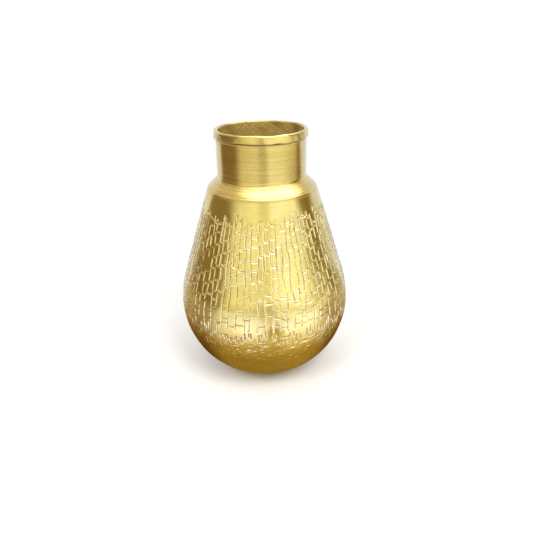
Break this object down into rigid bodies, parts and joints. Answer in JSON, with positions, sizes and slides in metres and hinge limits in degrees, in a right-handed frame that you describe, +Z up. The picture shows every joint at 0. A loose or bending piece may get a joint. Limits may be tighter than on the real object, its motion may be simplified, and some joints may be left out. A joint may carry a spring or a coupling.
{
  "type": "brass kalash pot",
  "caption": "Bottle-shaped brass kalash: strapped mouth, straight neck, chiselled conical body and a round bowl to stand on.",
  "frame": {"origin": "centre of the resting face, at the bottom of the bowl", "axes": "+Z up along the pot's axis; +Y towards the butt joint of the strap round the mouth"},
  "size_m": [0.103, 0.103, 0.15],
  "materials": {
    "rim_brass": "bright worn brass, lightly hammered",
    "turned_brass": "satin brass with fine turned lines",
    "chiselled_brass": "bright brass chiselled all over in short upright strokes",
    "bowl_brass": "brushed brass, a little darker and worn",
    "spelter": "pale brazing brass, dressed flush"
  },
  "bodies": {
    "root": {"rim_band": "rim_brass", "rim_solder": "spelter", "neck": "turned_brass", "neck_braze": "spelter", "shoulder": "turned_brass", "shoulder_braze": "spelter", "upper_body": "chiselled_brass", "belly_braze": "spelter", "lower_bowl": "bowl_brass"}
  },
  "joints": []
}
